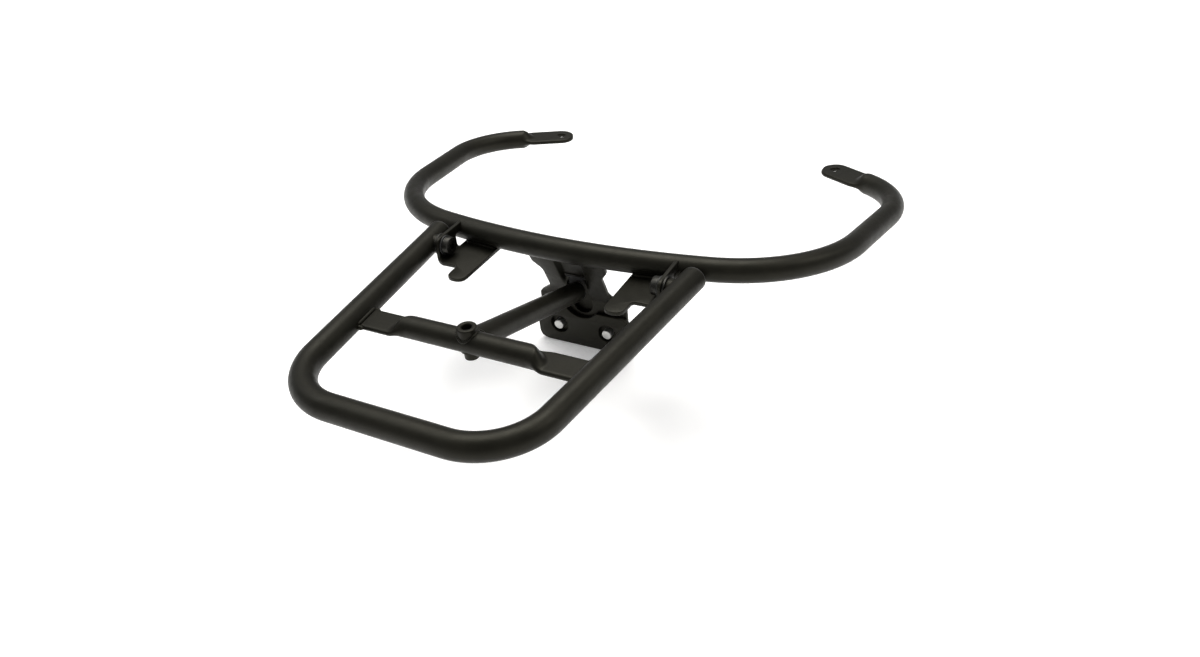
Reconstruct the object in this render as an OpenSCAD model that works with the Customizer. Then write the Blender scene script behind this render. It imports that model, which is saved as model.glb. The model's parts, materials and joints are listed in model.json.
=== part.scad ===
// Folding luggage rack for a scooter tail: a bent grab rail carries a sheet-metal tail bracket
// and two hinge brackets, and a tubular rack folds up from level on two hinge bolts.
// Millimetres. +X is right, +Y is forward, +Z is up, with the rack level.
// Origin: midway between the two tail studs, on the spacers' faces that meet the scooter.

/* [Tubes] */
// Outside diameter of the grab rail and of the rack frame
tube_d = 18; // [17:0.5:19]
// Outside diameter of the crossbar and of the strut
bar_d = 16; // [15:0.5:16]
// Wall of all tubes
wall = 2; // [1.5:0.25:2.5]

/* [Grab rail] */
// Height of the rail above the tail studs
rail_z = 84.5; // [82:0.5:90]
// Distance of the rail behind the mounting faces
rail_back = 33.7; // [33:0.1:36]
// Downward tilt of the rail towards its front ends
rail_tilt = 6.6; // [4:0.1:9]
// Radius of the long shallow bend across the back
rail_back_r = 541.6; // [520:1:560]
// Half of the angle that the shallow bend turns
rail_back_a = 12.2; // [11.8:0.1:12.6]
// Radius of the rear corner bends
rail_corner_r = 105.4; // [95:0.1:115]
// Angle that each rear corner turns
rail_corner_a = 69.2; // [66:0.1:72]
// Straight length along each side
rail_side_l = 62.1; // [50:0.1:80]
// Radius of the front corner bends
rail_front_r = 70.1; // [60:0.1:80]
// Angle that each front corner turns
rail_front_a = 65.6; // [60:0.1:70]

/* [Flattened rail ends] */
// Length from the round tube to the tip
end_l = 51.8; // [45:0.1:60]
// Length over which the tube is squashed flat
end_squash_l = 15; // [12:1:18]
// Width of the flat
end_w = 24; // [22:0.5:26]
// Thickness of the flat
end_t = 4; // [3.5:0.25:5]
// Bolt hole in each flat
end_hole_d = 8.5; // [8.2:0.1:9]
// Roll of each flat towards the rear
end_roll = 8; // [0:1:15]

/* [Rack frame] */
// Half width between the side tube centres, level with the grab rail
rack_front_w = 108.5; // [107.5:0.5:109.5]
// Half width between the side tube centres, at the rear corners
rack_rear_w = 84.1; // [80:0.1:90]
// Distance of the rear tube behind the grab rail
rack_l = 212.2; // [200:0.1:225]
// Bend radius of the rear corners
rack_corner_r = 46.2; // [40:0.1:50]
// Drop of the rack plane below the middle of the rail
rack_drop = 1; // [0.5:0.1:1.5]
// Gap between the rail centre line and the front ends of the side tubes
rack_front_gap = 2.5; // [2.5:0.1:4]

/* [Crossbar and strut] */
// Distance of the crossbar behind the grab rail
bar_back = 124; // [118:0.5:130]
// Half length of the round part of the crossbar
bar_round_l = 46; // [42:0.5:50]
// Length over which each end is squashed flat
paddle_squash_l = 10; // [8:0.5:12]
// Width of the flat paddle at each end
paddle_w = 21.5; // [20:0.5:24]
// Thickness of the paddle
paddle_t = 4; // [3.5:0.25:4.5]
// Slope of the strut below level
strut_a = 18; // [17.5:0.1:18.5]
// Forward reach of the strut axis past the grab rail centre
strut_reach = 17; // [15:0.5:18]
// Drop of the paddle's middle below the crossbar's
paddle_drop = 2.2; // [1.5:0.1:4]
// Outside diameter of the threaded boss
boss_d = 13.5; // [12:0.5:14]
// Outside diameter of the boss below the crossbar
boss_low_d = 10; // [9.5:0.5:11]
// Length of the threaded boss
boss_l = 24; // [20:1:26]
// Bore of the boss, tapped M8
boss_bore_d = 6.8; // [6.6:0.1:7]

/* [Hinges] */
// Distance of the hinge axis behind the grab rail
hinge_back = 21; // [20.5:0.1:21.5]
// Sheet thickness of the hinge brackets
hinge_t = 3; // [2.5:0.25:3.25]
// Distance of the ear's inner face from the middle plane
ear_in = 91.2; // [91:0.1:91.3]
// Shoulder diameter of the hinge bolt
hinge_pin_d = 9; // [8.5:0.5:9.5]
// Radial clearance of running fits
fit = 0.05; // [0.03:0.01:0.08]

/* [Tail bracket] */
// Slope of the bracket strip away from the vertical
strip_a = 22.8; // [22:0.1:23.5]
// Sheet thickness of the strip
strip_t = 3; // [2.5:0.25:3.25]
// Thickness of the tail plate
plate_t = 4; // [3:0.5:4]
// Width of the tail plate
plate_w = 84; // [80:1:90]
// Height of the tail plate
plate_h = 35; // [33:0.5:37]
// Distance between the two tail studs
stud_pitch = 44; // [42:0.5:46]
// Diameter of the tail studs
stud_d = 6; // [5:1:7]
// Diameter of the plain shank of the tail studs
shank_d = 8; // [7:0.5:9]
// Length of the studs in front of the mounting faces
stud_l = 14; // [10:1:18]
// Outside diameter of the tail spacers and of the holes in the tail plate
spacer_d = 16; // [15:0.5:17]

/* [Hidden] */

steel_black = "#24231f";
zinc = "#8c8c88";
rubber_black = "#151515";
nylon_black = "#1d1d1d";

fine = 96;
eps = 0.01;
hair = 0.02;
wide = 400;

tube_r = tube_d / 2;
bar_r = bar_d / 2;

// Turning left from point p and heading h along an arc of radius r by the angle a.
function turned(p, h, r, a) = [p[0] + r * (sin(h + a) - sin(h)), p[1] + r * (cos(h) - cos(h + a))];
function ahead(p, h, l) = [p[0] + l * cos(h), p[1] + l * sin(h)];

// Grab rail: points on the right-hand half of its centre line, in the rail's own plane.
rail_p1 = turned([0, 0], 0, rail_back_r, rail_back_a);
rail_h1 = rail_back_a;
rail_p2 = turned(rail_p1, rail_h1, rail_corner_r, rail_corner_a);
rail_h2 = rail_h1 + rail_corner_a;
rail_p3 = ahead(rail_p2, rail_h2, rail_side_l);
rail_p4 = turned(rail_p3, rail_h2, rail_front_r, rail_front_a);
rail_h4 = rail_h2 + rail_front_a;

// Rack frame: the side tubes close in towards the rear.
side_a = atan((rack_front_w - rack_rear_w) / rack_l);
corner_turn = 90 - side_a;
corner_reach = rack_corner_r * tan(corner_turn / 2);
corner_x = rack_rear_w - corner_reach;
side_end_y = -rack_l + corner_reach * cos(side_a);
side_l = (-rack_front_gap - side_end_y) / cos(side_a);
plug_head_t = 1.5;
plug_in_l = 8;

// Crossbar
paddle_low = -paddle_drop - paddle_t / 2;
paddle_reach = 96;

// Strut: its front end stops against the buffer in the tail bracket.
strut_l = (bar_back + strut_reach) / cos(strut_a);
strut_plug_t = 2;

// Hinges: places measured from the middle plane.
ear_out = ear_in + hinge_t;
ear_top = 7.2;
ear_rear = -30;
ear_front = 5;
base_top = -9.4;
base_in = 58;
finger_w = 15;
finger_rear = -50;
notch_y = -33;
liner_flange_t = 1.2;
liner_flange_d = 15.5;
liner_wall = 1;
washer_t = 1.6;
washer_d = 17;
sleeve_d = 14;
sleeve_l = 10;
thread_d = 8;
bolt_head_t = 5;
bolt_head_d = 14;
side_gap = 0.2;
sleeve_in = ear_out + side_gap + washer_t;

// Tail bracket: heights measured from the rail's centre line.
strip_top_z = -tube_r + 1.5;
strip_top_y = 1.9;
strip_bend_z = -57;
strip_bottom_z = -100;
strip_bend_y = strip_top_y + (strip_top_z - strip_bend_z) * tan(strip_a);
strip_len = (strip_top_z - strip_bend_z) / cos(strip_a);
strip_top_w = 33.5;
strip_neck_w = 26;
strip_flare_w = 39;
slot_r = 8.7;
slot_z = -42.6;
slot_bottom_z = -62;
plate_top_z = -67;
plate_corner_r = 9;
scoop_r = 17;
scoop_z = -56.5;
pocket_w = 23;
pocket_t = 1.5;
pocket_top_z = -31;
pocket_bottom_z = -73.5;
pocket_front_y = 29;
stud_proud = 1.5;

module at_rail() {
    translate([0, -rail_back, rail_z]) children();
}

module in_rail_plane() {
    at_rail() rotate([-rail_tilt, 0, 0]) children();
}

module in_rack_plane() {
    at_rail() translate([0, 0, -rack_drop]) children();
}

// Right and left hands of the same piece.
module hand(side) {
    if (side > 0) {
        children();
    } else {
        mirror([1, 0, 0]) children();
    }
}

module ring(d, t) {
    difference() {
        circle(d = d, $fn = fine);
        circle(d = d - 2 * t, $fn = fine);
    }
}

// A tube bend that starts at p, heads along h and turns left along an arc of radius r.
// Each length of tube starts a hairline late, and a sleeve inside the wall joins it to the last.
module bend(p, h, r, a, d) {
    hair_a = hair / r * 180 / PI;
    translate([p[0], p[1], 0])
        rotate(h)
            translate([0, r, 0])
                rotate(hair_a - 90)
                    rotate_extrude(angle = a - hair_a, $fn = fine) translate([r, 0]) ring(d, wall);
}

// A tube that starts at p and runs straight along h.
module straight(p, h, l, d) {
    translate([p[0], p[1], 0])
        rotate(h)
            translate([hair, 0, 0])
                rotate([0, 90, 0]) linear_extrude(height = l - hair) ring(d, wall);
}

module joint(p, h) {
    translate([p[0], p[1], 0])
        rotate(h)
            translate([-1, 0, 0])
                rotate([0, 90, 0]) linear_extrude(height = 2) ring(tube_d - 1, wall - 1);
}

module solid_x(d, x0, x1) {
    translate([x0, 0, 0])
        rotate([0, 90, 0])
            cylinder(d = d, h = x1 - x0, $fn = fine);
}

// ---- Grab rail ----

module flat_end() {
    translate([rail_p4[0], rail_p4[1], 0]) rotate(rail_h4) rotate([-end_roll, 0, 0]) {
        hull() {
            translate([hair, 0, 0]) rotate([0, 90, 0]) cylinder(d = tube_d, h = 0.2, $fn = 48);
            translate([end_squash_l, -end_w / 2, -end_t / 2]) cube([0.2, end_w, end_t]);
        }
        difference() {
            union() {
                translate([end_squash_l, -end_w / 2, -end_t / 2])
                    cube([end_l - end_w / 2 - end_squash_l, end_w, end_t]);
                translate([end_l - end_w / 2, 0, -end_t / 2]) cylinder(d = end_w, h = end_t, $fn = fine);
            }
            translate([end_l - end_w / 2, 0, -end_t]) cylinder(d = end_hole_d, h = 2 * end_t, $fn = fine);
        }
    }
}

module half_rail() {
    joint(rail_p1, rail_h1);
    bend(rail_p1, rail_h1, rail_corner_r, rail_corner_a, tube_d);
    joint(rail_p2, rail_h2);
    straight(rail_p2, rail_h2, rail_side_l, tube_d);
    joint(rail_p3, rail_h2);
    bend(rail_p3, rail_h2, rail_front_r, rail_front_a, tube_d);
    joint(rail_p4, rail_h4);
    flat_end();
}

module grab_rail() {
    color(steel_black) in_rail_plane() {
        bend([-rail_p1[0], rail_p1[1]], -rail_back_a, rail_back_r, 2 * rail_back_a, tube_d);
        for (side = [-1, 1]) hand(side) half_rail();
    }
}

// The back of the rail as a solid bar, to trim what is welded to its underside.
module rail_bar() {
    in_rail_plane()
        translate([0, rail_back_r, 0])
            rotate(-90 - rail_back_a)
                rotate_extrude(angle = 2 * rail_back_a, $fn = fine)
                    translate([rail_back_r, 0]) circle(d = tube_d, $fn = fine);
}

// ---- Tail bracket ----

module strip_outline() {
    polygon([
        [-strip_top_w, 0], [strip_top_w, 0],
        [strip_top_w - 1, -14], [strip_neck_w, -22],
        [strip_neck_w, -45], [strip_flare_w, -strip_len],
        [-strip_flare_w, -strip_len], [-strip_neck_w, -45],
        [-strip_neck_w, -22], [-strip_top_w + 1, -14]
    ]);
}

// Places its children on the sloping strip: x across, y up along the strip, z out to the rear.
module on_strip() {
    at_rail()
        translate([0, strip_top_y, strip_top_z])
            rotate([90 + strip_a, 0, 0])
                children();
}

slot_v = (slot_z - strip_top_z) / cos(strip_a);

module strut_slot() {
    on_strip() {
        translate([0, slot_v, -2 * strip_t]) cylinder(r = slot_r, h = 4 * strip_t, $fn = fine);
        translate([-slot_r, -strip_len - strip_t, -2 * strip_t])
            cube([2 * slot_r, strip_len + strip_t + slot_v, 4 * strip_t]);
    }
    at_rail() {
        translate([-slot_r, strip_bend_y - 2 * strip_t, slot_bottom_z])
            cube([2 * slot_r, 4 * strip_t, strip_bend_z - slot_bottom_z]);
        translate([0, strip_bend_y - 2 * strip_t, slot_bottom_z])
            rotate([-90, 0, 0]) cylinder(r = slot_r, h = 4 * strip_t, $fn = fine);
    }
}

module tail_holes(d) {
    at_rail()
        for (side = [-1, 1])
            translate([side * stud_pitch / 2, 0, -rail_z])
                rotate([-90, 0, 0]) cylinder(d = d, h = 2 * rail_back, $fn = fine);
}

module centre_bracket() {
    color(steel_black) difference() {
        union() {
            on_strip() translate([0, 0, -strip_t]) linear_extrude(height = strip_t) strip_outline();
            at_rail()
                translate([-strip_flare_w, strip_bend_y, strip_bottom_z])
                    cube([2 * strip_flare_w, strip_t, strip_bend_z - strip_bottom_z]);
        }
        strut_slot();
        tail_holes(shank_d + 2 * fit);
        rail_bar();
    }
}

module tail_plate() {
    w = plate_w / 2 - plate_corner_r;
    color(steel_black) difference() {
        at_rail() translate([0, strip_bend_y, plate_top_z]) rotate([90, 0, 0]) {
            translate([-plate_w / 2, plate_corner_r - plate_h, 0])
                cube([plate_w, plate_h - 2 * plate_corner_r, plate_t]);
            translate([-w, -plate_h, 0]) cube([2 * w, plate_h, plate_t]);
            for (x = [-w, w])
                for (y = [-plate_corner_r, plate_corner_r - plate_h])
                    translate([x, y, 0]) cylinder(r = plate_corner_r, h = plate_t, $fn = fine);
        }
        tail_holes(spacer_d);
        at_rail()
            translate([0, strip_bend_y - 2 * plate_t, scoop_z])
                rotate([-90, 0, 0]) cylinder(r = scoop_r, h = 3 * plate_t, $fn = fine);
    }
}

// Each stud's thick shank is welded into the strip, with a spacer round it on the scooter's side.
module tail_spacer(side) {
    spacer_l = rail_back - strip_bend_y - strip_t;
    color(steel_black) translate([side * stud_pitch / 2, -spacer_l, 0]) rotate([-90, 0, 0]) difference() {
        cylinder(d = spacer_d, h = spacer_l, $fn = fine);
        translate([0, 0, -1]) cylinder(d = shank_d + 2 * fit, h = spacer_l + 2, $fn = fine);
    }
}

module tail_stud(side) {
    behind = rail_back - strip_bend_y + plate_t + stud_proud;
    ease = 0.6;
    color(zinc) translate([side * stud_pitch / 2, -behind, 0]) rotate([-90, 0, 0]) {
        cylinder(d1 = shank_d - 2 * ease, d2 = shank_d, h = ease, $fn = fine);
        translate([0, 0, ease]) cylinder(d = shank_d, h = behind - ease, $fn = fine);
        translate([0, 0, behind]) cylinder(d = stud_d, h = stud_l - ease, $fn = fine);
        translate([0, 0, behind + stud_l - ease])
            cylinder(d1 = stud_d, d2 = stud_d - 2 * ease, h = ease, $fn = fine);
    }
}

// A pressed cup behind the strip: its rear is trimmed to the strip's front face.
module behind_strip() {
    on_strip() translate([-wide / 2, -strip_len, -strip_t]) cube([wide, wide, wide]);
    at_rail()
        translate([-wide / 2, strip_bend_y + strip_t - wide, -wide])
            cube([wide, wide, wide + strip_bend_z]);
}

module strut_pocket() {
    pocket_h = pocket_top_z - pocket_bottom_z;
    color(steel_black) difference() {
        at_rail()
            translate([-pocket_w / 2, 0, pocket_bottom_z])
                cube([pocket_w, pocket_front_y, pocket_h]);
        at_rail()
            translate([-pocket_w / 2 + pocket_t, -1, pocket_bottom_z + pocket_t])
                cube([pocket_w - 2 * pocket_t, pocket_front_y + 1 - pocket_t, pocket_h - 2 * pocket_t]);
        behind_strip();
    }
}

module strut_axis() {
    in_rack_plane() translate([0, -bar_back, 0]) rotate([-strut_a, 0, 0]) children();
}

module strut_buffer() {
    buffer_w = pocket_w - 2 * pocket_t - 2 * side_gap;
    buffer_h = 15;
    color(rubber_black) difference() {
        at_rail()
            translate([-buffer_w / 2, 0, pocket_top_z - pocket_t - buffer_h])
                cube([buffer_w, pocket_front_y - pocket_t - side_gap, buffer_h - side_gap]);
        behind_strip();
        strut_axis() rotate([-90, 0, 0]) cylinder(r = bar_r + side_gap, h = wide, $fn = fine);
    }
}

// ---- Hinge brackets ----

module base_outline() {
    polygon([
        [base_in, finger_rear + 5], [base_in + 5, finger_rear],
        [base_in + finger_w - 5, finger_rear], [base_in + finger_w, finger_rear + 5],
        [base_in + finger_w + 1, notch_y], [ear_out - 2, ear_rear - 1.5], [ear_out, ear_rear],
        [ear_out, ear_front], [base_in, ear_front]
    ]);
    for (x = [base_in + 5, base_in + finger_w - 5])
        translate([x, finger_rear + 5]) circle(r = 5, $fn = fine);
}

// Ear outline: x forward, y up. The lower front corner is notched clear of the bend.
module ear_outline() {
    polygon([
        [ear_rear, base_top - hinge_t], [-6.5, base_top - hinge_t], [-6.5, -1.5], [-4.5, 0.5],
        [ear_front, 0.5], [ear_front, ear_top], [ear_rear + 3.5, ear_top], [ear_rear, ear_top - 3.5]
    ]);
}

module hinge_axis() {
    in_rack_plane() translate([0, -hinge_back, 0]) children();
}

module hinge_bracket(side) {
    color(steel_black) hand(side) difference() {
        union() {
            at_rail() translate([0, 0, base_top - hinge_t]) linear_extrude(height = hinge_t) base_outline();
            at_rail()
                translate([ear_in, 0, 0])
                    rotate([90, 0, 90]) linear_extrude(height = hinge_t) ear_outline();
        }
        hinge_axis() solid_x(hinge_pin_d + 2 * fit + 2 * liner_wall, ear_in - 5, ear_out + 5);
        rail_bar();
    }
}

module hinge_liner(side) {
    color(nylon_black) hand(side) hinge_axis() difference() {
        union() {
            solid_x(hinge_pin_d + 2 * fit + 2 * liner_wall, ear_in - liner_flange_t, ear_out);
            solid_x(liner_flange_d, ear_in - liner_flange_t, ear_in);
        }
        solid_x(hinge_pin_d + 2 * fit, ear_in - 5, ear_out + 5);
    }
}

module hinge_washer(side) {
    color(zinc) hand(side) hinge_axis() difference() {
        solid_x(washer_d, sleeve_in - washer_t, sleeve_in);
        solid_x(hinge_pin_d + 2 * fit, sleeve_in - 5, sleeve_in + 5);
    }
}

module hinge_sleeve(side) {
    color(steel_black) hand(side) hinge_axis() difference() {
        solid_x(sleeve_d, sleeve_in, sleeve_in + sleeve_l);
        solid_x(thread_d + 2 * fit, sleeve_in - 1, sleeve_in + sleeve_l + 1);
    }
}

module hinge_bolt(side) {
    head_in = ear_in - liner_flange_t - side_gap - bolt_head_t;
    color(zinc) hand(side) hinge_axis() difference() {
        union() {
            solid_x(bolt_head_d, head_in, head_in + bolt_head_t);
            solid_x(hinge_pin_d, head_in + bolt_head_t, sleeve_in);
            solid_x(thread_d, sleeve_in - eps, sleeve_in + sleeve_l - 2);
        }
        translate([head_in - 1, 0, 0]) rotate([0, 90, 0]) cylinder(d = 5.8, h = 4, $fn = 6);
    }
}

// ---- Rack ----

module at_side_end(back) {
    in_rack_plane()
        translate([rack_front_w - rack_front_gap * tan(side_a), -rack_front_gap, 0])
            rotate(-side_a)
                translate([0, -back, 0])
                    rotate([-90, 0, 0]) children();
}

module rack_frame() {
    side_p = [rack_rear_w + corner_reach * sin(side_a), side_end_y];
    color(steel_black) difference() {
        in_rack_plane() {
            straight([-corner_x, -rack_l], 0, 2 * corner_x, tube_d);
            for (side = [-1, 1]) hand(side) {
                joint([corner_x, -rack_l], 0);
                bend([corner_x, -rack_l], 0, rack_corner_r, corner_turn, tube_d);
                joint(side_p, 90 - side_a);
                straight(side_p, 90 - side_a, side_l - plug_head_t, tube_d);
            }
        }
        for (side = [-1, 1])
            hand(side) hinge_axis() solid_x(sleeve_d, ear_in, rack_front_w - hinge_back * tan(side_a));
    }
}

module frame_plug(side) {
    color(nylon_black) hand(side) at_side_end(plug_head_t) {
        cylinder(d = tube_d, h = plug_head_t, $fn = fine);
        translate([0, 0, -plug_in_l])
            cylinder(d = tube_d - 2 * wall - 2 * fit, h = plug_in_l + eps, $fn = fine);
    }
}

// The side tubes as solid bars, to trim the ends of the crossbar.
module side_bars() {
    for (side = [-1, 1])
        hand(side) at_side_end(rack_l) cylinder(d = tube_d, h = rack_l, $fn = fine);
}

module paddle() {
    hull() {
        translate([bar_round_l - 0.2, 0, 0]) rotate([0, 90, 0]) cylinder(d = bar_d, h = 0.2, $fn = 48);
        translate([bar_round_l + paddle_squash_l, -paddle_w / 2, paddle_low])
            cube([0.2, paddle_w, paddle_t]);
    }
    translate([bar_round_l + paddle_squash_l, -paddle_w / 2, paddle_low])
        cube([paddle_reach - bar_round_l - paddle_squash_l, paddle_w, paddle_t]);
}

module boss_bar() {
    step_z = -bar_r + 2;
    translate([0, 0, step_z]) cylinder(d = boss_d, h = boss_l / 2 - step_z, $fn = fine);
    translate([0, 0, -boss_l / 2]) cylinder(d = boss_low_d, h = boss_l / 2 + step_z + eps, $fn = fine);
}

module crossbar() {
    color(steel_black) difference() {
        in_rack_plane() translate([0, -bar_back, 0]) {
            straight([-bar_round_l, 0], 0, 2 * bar_round_l, bar_d);
            for (side = [-1, 1]) hand(side) paddle();
        }
        in_rack_plane() translate([0, -bar_back, 0]) boss_bar();
        side_bars();
    }
}

module threaded_boss() {
    color(steel_black) in_rack_plane() translate([0, -bar_back, 0]) difference() {
        boss_bar();
        cylinder(d = boss_bore_d, h = 2 * boss_l, center = true, $fn = fine);
    }
}

module strut_tube() {
    color(steel_black) difference() {
        strut_axis() rotate([-90, 0, 0]) linear_extrude(height = strut_l - strut_plug_t) ring(bar_d, wall);
        in_rack_plane() translate([0, -bar_back, 0]) {
            solid_x(bar_d, -bar_d, bar_d);
            boss_bar();
        }
    }
}

module strut_plug() {
    color(nylon_black) strut_axis() rotate([-90, 0, 0]) {
        translate([0, 0, strut_l - strut_plug_t]) cylinder(d = bar_d, h = strut_plug_t, $fn = fine);
        translate([0, 0, strut_l - strut_plug_t - plug_in_l])
            cylinder(d = bar_d - 2 * wall - 2 * fit, h = plug_in_l + eps, $fn = fine);
    }
}

grab_rail();
centre_bracket();
tail_plate();
strut_pocket();
strut_buffer();
tail_spacer(-1);  // tail_spacer_left
tail_spacer(1);  // tail_spacer_right
tail_stud(-1);  // tail_stud_left
tail_stud(1);  // tail_stud_right
hinge_bracket(-1);  // hinge_bracket_left
hinge_bracket(1);  // hinge_bracket_right
hinge_liner(-1);  // hinge_liner_left
hinge_liner(1);  // hinge_liner_right
rack_frame();
frame_plug(-1);  // frame_plug_left
frame_plug(1);  // frame_plug_right
crossbar();
threaded_boss();
strut_tube();
strut_plug();
hinge_sleeve(-1);  // hinge_sleeve_left
hinge_sleeve(1);  // hinge_sleeve_right
hinge_washer(-1);  // hinge_washer_left
hinge_washer(1);  // hinge_washer_right
hinge_bolt(-1);  // hinge_bolt_left
hinge_bolt(1);  // hinge_bolt_right
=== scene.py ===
"""The looks of the folding luggage rack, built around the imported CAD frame.

Sizes are in millimetres until place() turns them into the metres of the shared frame.
+X is right, +Y is forward, +Z is up, and the origin lies between the two tail studs.
"""

import json
import math

import bmesh
import bpy
import numpy as np
from mathutils import Matrix, Vector


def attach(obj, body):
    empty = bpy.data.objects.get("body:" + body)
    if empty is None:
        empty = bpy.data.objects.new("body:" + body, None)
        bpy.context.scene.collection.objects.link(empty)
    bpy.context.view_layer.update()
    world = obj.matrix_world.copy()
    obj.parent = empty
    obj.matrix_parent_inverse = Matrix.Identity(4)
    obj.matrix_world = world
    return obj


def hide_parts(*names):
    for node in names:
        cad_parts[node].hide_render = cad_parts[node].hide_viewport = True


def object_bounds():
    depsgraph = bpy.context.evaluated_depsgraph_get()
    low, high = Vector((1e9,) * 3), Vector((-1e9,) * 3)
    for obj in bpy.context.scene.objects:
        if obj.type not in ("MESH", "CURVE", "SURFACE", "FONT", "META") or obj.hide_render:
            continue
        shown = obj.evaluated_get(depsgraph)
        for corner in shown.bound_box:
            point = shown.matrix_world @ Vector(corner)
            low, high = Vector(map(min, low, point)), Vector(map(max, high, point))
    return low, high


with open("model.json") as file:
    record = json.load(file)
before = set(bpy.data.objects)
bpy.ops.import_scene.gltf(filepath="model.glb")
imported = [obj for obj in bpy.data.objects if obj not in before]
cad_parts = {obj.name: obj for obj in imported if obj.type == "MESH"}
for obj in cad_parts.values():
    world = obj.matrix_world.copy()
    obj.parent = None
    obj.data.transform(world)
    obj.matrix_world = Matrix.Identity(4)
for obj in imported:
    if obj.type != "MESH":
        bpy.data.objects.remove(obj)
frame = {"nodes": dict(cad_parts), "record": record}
cad_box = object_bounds()

MM = 0.001
FIXED = "rail"
MOVING = "rack"
RING_N = 56

# Sizes shared with the CAD model.
TUBE_R = 9.0
BAR_R = 8.0
WALL = 2.0
RAIL_Z = 84.5
RAIL_BACK = 33.7
RAIL_TILT = 6.6
RACK_DROP = 1.0
RACK_REAR = 212.2
RACK_FRONT_W = 108.5
RACK_REAR_W = 84.1
RACK_CORNER_R = 46.2
RACK_FRONT_GAP = 2.5
PLUG_T = 1.5
SHEET_T = 3.0
STRIP_A = 22.8
HINGE_BACK = 21.0
BAR_BACK = 124.0
STRUT_A = 18.0
STRUT_REACH = 17.0
STUD_X = 22.0
EAR_IN = 91.2
EAR_OUT = EAR_IN + SHEET_T
LINER_T = 1.2
WASHER_T = 1.6
HINGE_GAP = 0.2
PIN_R = 4.5
SLEEVE_IN = EAR_OUT + HINGE_GAP + WASHER_T

AT_RAIL = Matrix.Translation((0, -RAIL_BACK, RAIL_Z))
RAIL_PLANE = AT_RAIL @ Matrix.Rotation(math.radians(-RAIL_TILT), 4, "X")
RACK_PLANE = AT_RAIL @ Matrix.Translation((0, 0, -RACK_DROP))
CROSSBAR = RACK_PLANE @ Matrix.Translation((0, -BAR_BACK, 0))
HINGE = RACK_PLANE @ Matrix.Translation((0, -HINGE_BACK, 0))
# Turns of the Z axis onto X and onto Y.
ALONG_X = Matrix(((0, 0, 1, 0), (1, 0, 0, 0), (0, 1, 0, 0), (0, 0, 0, 1)))
ALONG_Y = Matrix(((1, 0, 0, 0), (0, 0, 1, 0), (0, -1, 0, 0), (0, 0, 0, 1)))


# ---- Camera, light and floor ----

CAMERA_AT = (0.31551, -0.53212, 0.41431)
CAMERA_TURN = (30.08, 34.45, -5.62)
CAMERA_LENS = 26.98


def add_camera():
    azimuth, elevation, roll = (math.radians(a) for a in CAMERA_TURN)
    back = Vector((
        math.sin(azimuth) * math.cos(elevation),
        -math.cos(azimuth) * math.cos(elevation),
        math.sin(elevation),
    ))
    level = Vector((0, 0, 1)).cross(back).normalized()
    upright = back.cross(level)
    right = level * math.cos(roll) + upright * math.sin(roll)
    up = upright * math.cos(roll) - level * math.sin(roll)
    data = bpy.data.cameras.new("camera")
    data.sensor_width = 36.0
    data.lens = CAMERA_LENS
    data.clip_start = 0.01
    camera = bpy.data.objects.new("camera", data)
    bpy.context.scene.collection.objects.link(camera)
    turn = Matrix((right, up, back)).transposed().to_4x4()
    camera.matrix_world = Matrix.Translation(CAMERA_AT) @ turn
    bpy.context.scene.camera = camera


def add_soft_light(name, place_at, target, size, watts, colour):
    data = bpy.data.lights.new(name, "AREA")
    data.shape = "RECTANGLE"
    data.size, data.size_y = size
    data.energy = watts
    data.color = colour
    light = bpy.data.objects.new(name, data)
    bpy.context.scene.collection.objects.link(light)
    light.location = place_at
    aim = Vector(target) - Vector(place_at)
    light.rotation_euler = aim.to_track_quat("-Z", "Y").to_euler()


def add_studio():
    scene = bpy.context.scene
    scene.view_settings.view_transform = "Standard"
    world = bpy.data.worlds.new("studio")
    scene.world = world
    world.use_nodes = True
    sky = world.node_tree.nodes["Background"]
    sky.inputs["Color"].default_value = (1.0, 1.0, 1.0, 1)
    sky.inputs["Strength"].default_value = 0.32
    middle = (0.0, -0.04, 0.06)
    add_soft_light("overhead", (-0.6, 0.9, 3.4), middle, (2.6, 2.6), 132, (1.0, 0.985, 0.96))
    add_soft_light("right_side", (2.2, 0.9, 2.4), middle, (1.4, 1.4), 20, (1.0, 0.98, 0.95))
    add_soft_light("left_side", (-2.0, -0.4, 2.4), middle, (1.4, 1.4), 16, (0.97, 0.98, 1.0))


def add_floor():
    gap, far = 0.0008, 6.0
    low = cad_box[0][2] - gap
    mesh = bpy.data.meshes.new("floor")
    corners = [(x * far, y * far, low) for x, y in ((-1, -1), (1, -1), (1, 1), (-1, 1))]
    mesh.from_pydata(corners, [], [(0, 1, 2, 3)])
    floor = bpy.data.objects.new("floor", mesh)
    bpy.context.scene.collection.objects.link(floor)
    material, shader = new_material("pale_floor")
    shader.inputs["Base Color"].default_value = (0.93, 0.93, 0.93, 1)
    shader.inputs["Roughness"].default_value = 0.9
    shader.inputs["Specular IOR Level"].default_value = 0.1
    shader.inputs["Emission Color"].default_value = (1.0, 1.0, 1.0, 1)
    shader.inputs["Emission Strength"].default_value = 0.22
    floor.data.materials.append(material)


# ---- Materials ----

def new_material(name):
    material = bpy.data.materials.new(name)
    material.use_nodes = True
    return material, material.node_tree.nodes["Principled BSDF"]


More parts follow.
